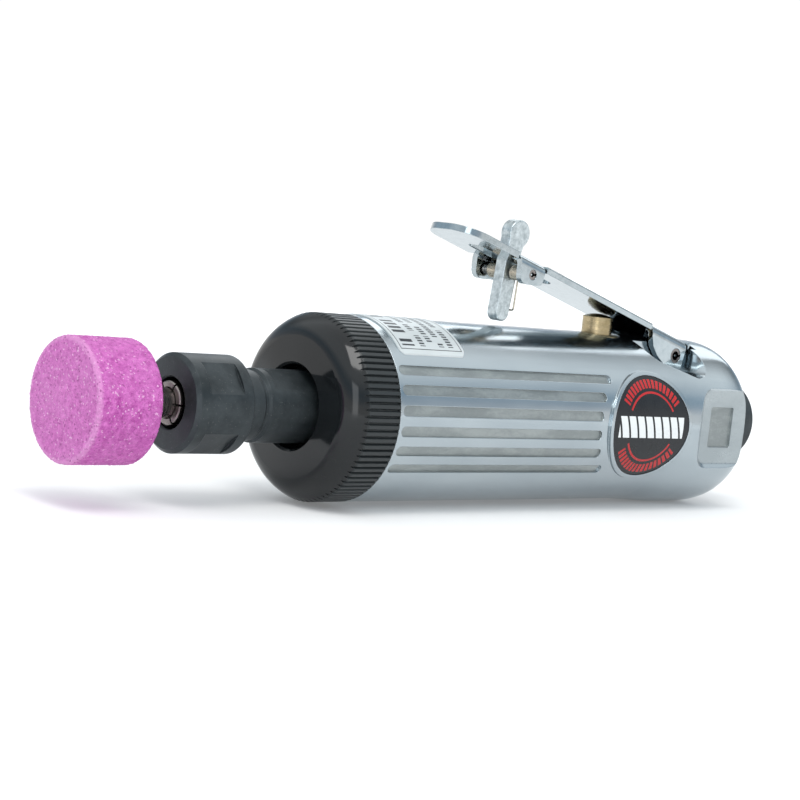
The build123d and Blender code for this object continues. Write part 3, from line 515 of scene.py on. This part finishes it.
def floor_paper():
    """Plain pale paper that glows more towards its far edges."""
    g = Graph("floor_paper")
    fibre = g.noise(900, 4, 0.6)
    color = g.mix(fibre, (0.78, 0.78, 0.78), (0.82, 0.82, 0.82))
    away = g.length(*g.split()[:2])
    near, far = FLOOR_GLOW_REACH
    glow = g.remap(away, near * MM, far * MM, *FLOOR_GLOW)
    g.shader.inputs["Emission Color"].default_value = (1.0, 1.0, 1.0, 1.0)
    g.link(glow, g.shader.inputs["Emission Strength"])
    return g.finish(color, 0.85, 0.0, g.bump(fibre, 0.01 * MM, 0.3), Specular_IOR_Level=0.1)


SLOT_MATERIALS = {
    "polished_aluminium": polished_aluminium,
    "black_oxide": black_oxide,
    "ring_black": ring_black,
    "rubber_black": rubber_black,
    "steel": ground_steel,
    "chrome_plate": chrome_plate,
    "zinc_cast": zinc_cast,
    "spring_steel": spring_steel,
    "brass": brass,
    "iron": machined_iron,
    "vane_plastic": phenolic,
    "abrasive_pink": abrasive_pink,
    "label_silver": label_print,
    "badge_black": badge_print,
}


def dress_cad_nodes():
    """Gives every carried-over node the material of its slot."""
    made = {slot: build() for slot, build in SLOT_MATERIALS.items()}
    for part in frame["record"]["subparts"]:
        mesh = NODES[part["node"]].data
        mesh.materials.clear()
        mesh.materials.append(made[part["material_slot"]])
    return made


# ---------------------------------------------------------------- detail pieces

def mesh_piece(name, vertices, faces, smooth=True):
    """Object made of faces between points given in millimetres."""
    mesh = bpy.data.meshes.new(name)
    mesh.from_pydata([Vector(v) * MM for v in vertices], [], faces)
    mesh.update()
    if smooth:
        mesh.polygons.foreach_set("use_smooth", [True] * len(mesh.polygons))
    piece = bpy.data.objects.new(name, mesh)
    bpy.context.scene.collection.objects.link(piece)
    return piece


def ring_of_faces(base, count):
    """Quads between the ring of points that starts at base and the ring after it."""
    quads = []
    for step in range(count):
        after = (step + 1) % count
        quads.append((base + step, base + after, base + count + after, base + count + step))
    return quads


def wire_piece(name, points, radius, sides=10):
    """Round wire swept along points, with flat ends."""
    path = [Vector(p) for p in points]
    vertices, faces = [], []
    normal = None
    for index, point in enumerate(path):
        ahead = path[min(index + 1, len(path) - 1)] - path[max(index - 1, 0)]
        ahead.normalize()
        if normal is None:
            normal = ahead.orthogonal().normalized()
        normal = (normal - ahead * normal.dot(ahead)).normalized()
        across = ahead.cross(normal)
        for step in range(sides):
            turn = 2 * pi * step / sides
            vertices.append(point + radius * (cos(turn) * normal + sin(turn) * across))
        if index:
            faces += ring_of_faces((index - 1) * sides, sides)
    faces.append(tuple(range(sides - 1, -1, -1)))
    last = (len(path) - 1) * sides
    faces.append(tuple(range(last, last + sides)))
    return mesh_piece(name, vertices, faces)


def node_box_mm(node):
    """Low and high corner of a CAD node, in millimetres."""
    low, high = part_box(node)
    return [value / MM for value in low], [value / MM for value in high]


# The sizes of the detail pieces are in millimetres
CLEARANCE = 0.01                 # a detail piece stays this far inside its CAD box
PIN_X, PIN_Z = 84.0, 32.3        # axis of the lock's pin
SPRING_WIRE = 0.21
SPRING_COIL_R = 1.52
SPRING_TURNS = 9
SPRING_STEPS = 28                # points in a turn
SPRING_COIL_END = 1.76           # inner end of each coil, from the middle
SPRING_FOOT = (-1.1, 0.02)       # cross bar: from the pin along X, and above the spring's lowest point
SPRING_CORNER = 0.6
LEG_STEPS = 12
CORNER_STEPS = 4


def wound_spring():
    """Double torsion spring of one wire: coil, leg, cross bar, leg, coil."""
    low, high = node_box_mm("lock_spring")
    inner_y = SPRING_COIL_END + SPRING_WIRE
    outer_y = high[1] - SPRING_WIRE
    total = SPRING_TURNS * SPRING_STEPS
    coil = []
    for index in range(total + 1):
        part = index / total
        turn = pi + 2 * pi * SPRING_TURNS * (1 - part)
        y = outer_y + (inner_y - outer_y) * part
        coil.append((PIN_X + SPRING_COIL_R * cos(turn), y, PIN_Z + SPRING_COIL_R * sin(turn)))
    foot_x = PIN_X + SPRING_FOOT[0]
    foot_z = low[2] + SPRING_WIRE + SPRING_FOOT[1]
    bend_z = foot_z + SPRING_CORNER
    leg = []
    for step in range(1, LEG_STEPS + 1):
        rest = 1 - step / LEG_STEPS
        leg.append((foot_x + (coil[-1][0] - foot_x) * rest, inner_y, bend_z + (PIN_Z - bend_z) * rest))
    corner = []
    for step in range(1, CORNER_STEPS + 1):
        turn = pi / 2 * step / CORNER_STEPS
        corner.append((foot_x, inner_y - SPRING_CORNER * (1 - cos(turn)),
                       foot_z + SPRING_CORNER * (1 - sin(turn))))
    half = coil + leg + corner
    points = half + [(x, -y, z) for x, y, z in reversed(half)]
    piece = wire_piece("lock_spring_wire", points, SPRING_WIRE)
    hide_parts("lock_spring")
    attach(piece, "lock")
    return piece


VALVE_WIRE = 0.25
VALVE_TURNS = 7.5
VALVE_STEPS = 24                 # points in a turn
CLOSED_TURN = 0.9                # flat turn at each end of the valve spring


def coil_points(x, radius, bottom, top, turns):
    """Helix about an upright axis at x, with a closed turn at each end."""
    total = int(turns * VALVE_STEPS)
    points = []
    for index in range(total + 1):
        part = index / total
        rise = min(1.0, max(0.0, (part * turns - CLOSED_TURN) / (turns - 2 * CLOSED_TURN)))
        turn = 2 * pi * index / VALVE_STEPS
        points.append((x + radius * cos(turn), radius * sin(turn), bottom + (top - bottom) * rise))
    return points


def valve_return_spring():
    """Valve spring between its floor and the ball."""
    low, high = node_box_mm("valve_spring")
    inset = VALVE_WIRE + CLEARANCE
    x, radius = (low[0] + high[0]) / 2, (high[0] - low[0]) / 2 - inset
    bottom, top = low[2] + inset, high[2] - inset
    points = coil_points(x, radius, bottom, top, VALVE_TURNS)
    piece = wire_piece("valve_spring_wire", points, VALVE_WIRE)
    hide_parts("valve_spring")
    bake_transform(piece)
    return piece


def rising(start, end, step):
    """Evenly spread numbers from start to end, about one step apart."""
    count = max(1, round((end - start) / step))
    return [start + (end - start) * index / count for index in range(count + 1)]


def bore_wall(vertices, around, end, bore):
    """Blind bore: adds its inner ring and returns the wall and end faces."""
    first = len(vertices)
    for step in range(around):
        turn = 2 * pi * step / around
        vertices.append((end, bore * cos(turn), bore * sin(turn)))
    wall = []
    for step in range(around):
        after = (step + 1) % around
        wall.append((step, first + step, first + after, after))
    return wall + [tuple(range(first + around - 1, first - 1, -1))]


STONE_BORE = 3.0                 # radius
STONE_BORE_STOP = 4.0            # the blind bore ends this far behind the front face
STONE_CORNER = 0.7
STONE_AROUND = 300               # points round the stone
STONE_LAND = 2.0                 # flat land round the mouth of the bore
STONE_STEP = 0.26                # angle between rings on the corners, and first step along the rim
REAR_STEP, RIM_STEP, FRONT_STEP = 0.40, 0.27, 0.36    # distances between rings on each surface
FRONT_EDGE = 0.3                 # the front face's first ring lies this far in from the corner
FRONT_MIDDLE = 0.6               # radius of the front face's flat middle
GRAIN_START = 1.0                # the grain begins this far outside the bore
GRAIN_DEPTH = 0.26
GRAIN_SIZES = ((2.6, 0.6), (5.1, 0.4))    # waves per millimetre, and each size's share
GRAIN_CONTRAST = 1.7
SMOOTH_END = 0.2                 # rings this near the ends are pressed in along the axis only


def stone_profile(rear, front, radius):
    """Rings of the stone's surface as X and radius, from the bore's mouth to the front's middle."""
    corner = STONE_CORNER
    turns = rising(STONE_STEP, pi / 2, STONE_STEP)
    land_r = STONE_BORE + STONE_LAND
    rings = [(rear, STONE_BORE), (rear, land_r)]
    rings += [(rear, r) for r in rising(land_r + REAR_STEP, radius - corner, REAR_STEP)]
    rings += [(rear + corner * (1 - cos(t)), radius - corner + corner * sin(t)) for t in turns]
    rings += [(x, radius) for x in rising(rear + corner + STONE_STEP, front - corner, RIM_STEP)]
    rings += [(front - corner * (1 - sin(t)), radius - corner * (1 - cos(t))) for t in turns]
    inward = rising(FRONT_EDGE, radius - corner - FRONT_MIDDLE, FRONT_STEP)
    rings += [(front, radius - corner - step) for step in inward]
    return rings


def grain_dent(place):
    """Depth of the dent at a point of the stone's surface."""
    grain = sum(noise.noise(place * size) * share for size, share in GRAIN_SIZES)
    return GRAIN_DEPTH * (0.5 - 0.5 * max(-1.0, min(1.0, GRAIN_CONTRAST * grain)))


def rough_stone():
    """Grinding stone as a grainy closed surface, inside the size of the turned blank."""
    low, high = node_box_mm("grinding_stone")
    rear, front, radius = low[0] + CLEARANCE, high[0] - CLEARANCE, high[2] - CLEARANCE
    rings = stone_profile(rear, front, radius)
    vertices, faces = [], []
    for x, r in rings:
        on_rear = x <= rear + STONE_CORNER
        on_front = x >= front - STONE_CORNER
        for step in range(STONE_AROUND):
            turn = 2 * pi * step / STONE_AROUND
            place = Vector((x, r * cos(turn), r * sin(turn)))
            dent = grain_dent(place) if r > STONE_BORE + GRAIN_START else 0.0
            push = dent if on_rear else (-dent if on_front else 0.0)
            pull = 1 - dent / r if rear + SMOOTH_END < x < front - SMOOTH_END else 1.0
            vertices.append((x + push, place.y * pull, place.z * pull))
    for ring in range(len(rings) - 1):
        faces += ring_of_faces(ring * STONE_AROUND, STONE_AROUND)
    last = (len(rings) - 1) * STONE_AROUND
    faces.append(tuple(range(last, last + STONE_AROUND)))
    faces += bore_wall(vertices, STONE_AROUND, front - STONE_BORE_STOP, STONE_BORE)
    piece = mesh_piece("grinding_stone_grain", vertices, faces)
    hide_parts("grinding_stone")
    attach(piece, "spindle_group")
    return piece


THREAD_BORE_R = 5.7
THREAD_PITCH = 1.41
THREAD_LENGTH = 12.6
THREAD_START = 0.9
THREAD_DEPTH = 0.75
THREAD_ROOT = 0.1                # the ridge's foot is sunk this far into the wall
THREAD_FOOT, THREAD_CREST = 0.55, 0.08    # half widths
THREAD_STEPS = 48                # points in a turn
THREAD_FADE = 24                 # points over which the ridge rises at its ends


def inlet_thread():
    """Pipe thread ridge inside the inlet bore."""
    total = int(THREAD_LENGTH / THREAD_PITCH * THREAD_STEPS)
    foot_r = THREAD_BORE_R + THREAD_ROOT
    vertices, faces = [], []
    for index in range(total + 1):
        turn = 2 * pi * index / THREAD_STEPS
        x = THREAD_START + THREAD_PITCH * index / THREAD_STEPS
        fade = min(1.0, index / THREAD_FADE, (total - index) / THREAD_FADE)
        crest_r = THREAD_BORE_R - THREAD_DEPTH * fade
        section = ((-THREAD_FOOT, foot_r), (-THREAD_CREST, crest_r),
                   (THREAD_CREST, crest_r), (THREAD_FOOT, foot_r))
        for dx, r in section:
            vertices.append((x + dx, r * cos(turn), r * sin(turn)))
        if index:
            base = (index - 1) * 4
            for side in range(4):
                after = (side + 1) % 4
                faces.append((base + side, base + 4 + side, base + 4 + after, base + after))
    faces.append((0, 1, 2, 3))
    last = total * 4
    faces.append((last + 3, last + 2, last + 1, last))
    piece = mesh_piece("inlet_thread", vertices, faces, smooth=False)
    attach(piece, "body")
    return piece


def detail_pieces(materials):
    """Makes the finer pieces and gives each its slot's material."""
    made = ((wound_spring, "spring_steel"), (valve_return_spring, "steel"),
            (rough_stone, "abrasive_pink"), (inlet_thread, "black_oxide"))
    for make, slot in made:
        make().data.materials.append(materials[slot])


# ---------------------------------------------------------------- stage, light and camera

# Colour of the surroundings by height: 0 is level with the object and 1 is straight above it
WORLD_BANDS = (
    (0.0, (1.0, 1.0, 1.0)),
    (0.14, (1.0, 1.0, 1.0)),
    (0.20, (0.60, 0.66, 0.73)),
    (0.34, (0.42, 0.55, 0.66)),
    (0.48, (0.78, 0.86, 0.92)),
    (0.58, (1.08, 1.14, 1.17)),
    (0.80, (1.10, 1.15, 1.18)),
    (1.0, (1.0, 1.02, 1.04)),
)
WORLD_STRENGTH = 1.04
FRONT_LEFT = (0.674, 0.738, 0.0)
BEHIND = (-0.38, -0.62)          # how far a direction has to point away from the front left
HIGH_UP = (0.22, 0.42)
DIMMING = 0.62                   # taken off the strength where the world is behind and high up


def studio_world():
    """Bright tent with a softly darker wall band and a dark upper back."""
    world = bpy.data.worlds.new("studio")
    world.use_nodes = True
    tree = world.node_tree

    def made(kind, **values):
        node = tree.nodes.new(kind)
        for key, value in values.items():
            setattr(node, key, value)
        return node

    def ranged(source, edge, top):
        node = made("ShaderNodeMapRange")
        tree.links.new(source, node.inputs["Value"])
        set_range(node, *edge, 0.0, top)
        return node.outputs["Result"]

    way = made("ShaderNodeTexCoord").outputs["Generated"]
    parts = made("ShaderNodeSeparateXYZ")
    tree.links.new(way, parts.inputs[0])
    ramp = made("ShaderNodeValToRGB")
    tree.links.new(parts.outputs["Z"], ramp.inputs["Fac"])
    while len(ramp.color_ramp.elements) < len(WORLD_BANDS):
        ramp.color_ramp.elements.new(0.5)
    for element, (position, color) in zip(ramp.color_ramp.elements, WORLD_BANDS):
        element.position = position
        element.color = (*color, 1.0)
    facing = made("ShaderNodeVectorMath", operation="DOT_PRODUCT")
    tree.links.new(way, facing.inputs[0])
    facing.inputs[1].default_value = FRONT_LEFT
    dimming = made("ShaderNodeMath", operation="MULTIPLY")
    tree.links.new(ranged(facing.outputs["Value"], BEHIND, DIMMING), dimming.inputs[0])
    tree.links.new(ranged(parts.outputs["Z"], HIGH_UP, 1.0), dimming.inputs[1])
    strength = made("ShaderNodeMath", operation="SUBTRACT")
    strength.inputs[0].default_value = WORLD_STRENGTH
    tree.links.new(dimming.outputs[0], strength.inputs[1])
    background = tree.nodes["Background"]
    tree.links.new(ramp.outputs["Color"], background.inputs["Color"])
    tree.links.new(strength.outputs[0], background.inputs["Strength"])
    return world


FLOOR_GAP = 0.02                 # the floor lies this far below the lowest point, in millimetres
FLOOR_HALF = 3.0                 # half the floor's side, in metres
LIGHT_AIM = (0.09, 0, 0)         # middle of the tool, in metres
COOL_WHITE = (0.95, 0.98, 1.0)
WARM_WHITE = (1.0, 0.99, 0.97)


def add_floor():
    """Plain floor just under the object."""
    mesh = bpy.data.meshes.new("floor")
    bm = bmesh.new()
    bmesh.ops.create_grid(bm, x_segments=1, y_segments=1, size=FLOOR_HALF)
    bm.to_mesh(mesh)
    bm.free()
    floor = bpy.data.objects.new("floor", mesh)
    floor.location = (0, 0, cad_box[0][2] - FLOOR_GAP * MM)
    mesh.materials.append(floor_paper())
    bpy.context.scene.collection.objects.link(floor)


def area_light(name, place, size, power, color):
    """Rectangular light at a place in metres, aimed at the middle of the tool."""
    data = bpy.data.lights.new(name, "AREA")
    data.shape = "RECTANGLE"
    data.size, data.size_y = size
    data.energy = power
    data.color = color
    light = bpy.data.objects.new(name, data)
    light.location = place
    light.rotation_euler = (Vector(LIGHT_AIM) - Vector(place)).to_track_quat("-Z", "Y").to_euler()
    bpy.context.scene.collection.objects.link(light)


def stage_and_lights():
    """Floor, surroundings and three soft lights."""
    add_floor()
    bpy.context.scene.world = studio_world()
    area_light("key", (0.35, 0.35, 0.75), (0.4, 0.4), 3.0, WARM_WHITE)
    area_light("side", (0.9, 0.75, 0.25), (0.4, 0.6), 1.6, COOL_WHITE)
    area_light("back", (-0.5, -0.4, 0.5), (0.6, 0.4), 1.2, COOL_WHITE)


CAMERA_PLACE = (399.4, 314.0, 38.4)    # millimetres
CAMERA_AZIMUTH, CAMERA_ELEVATION, CAMERA_ROLL = 137.60, 4.88, 6.375
CAMERA_LENS = 87.7
CAMERA_SENSOR = 36
CAMERA_NEAR = 0.01


def camera():
    """Camera in front of the tool and to its left, a little above it and slightly rolled."""
    azimuth, elevation, roll = map(radians, (CAMERA_AZIMUTH, CAMERA_ELEVATION, CAMERA_ROLL))
    back = Vector((sin(azimuth) * cos(elevation), -cos(azimuth) * cos(elevation), sin(elevation)))
    right = (-back).cross(Vector((0, 0, 1))).normalized()
    up = right.cross(-back)
    image_right = cos(roll) * right + sin(roll) * up
    image_up = -sin(roll) * right + cos(roll) * up
    data = bpy.data.cameras.new("camera")
    data.lens = CAMERA_LENS
    data.sensor_width = CAMERA_SENSOR
    data.clip_start = CAMERA_NEAR
    view = bpy.data.objects.new("camera", data)
    axes = Matrix((image_right, image_up, back)).transposed().to_4x4()
    view.matrix_world = Matrix.Translation(Vector(CAMERA_PLACE) * MM) @ axes
    bpy.context.scene.collection.objects.link(view)
    bpy.context.scene.camera = view


bpy.context.scene.view_settings.view_transform = "Standard"
clear_default_scene()
camera()
stage_and_lights()
detail_pieces(dress_cad_nodes())
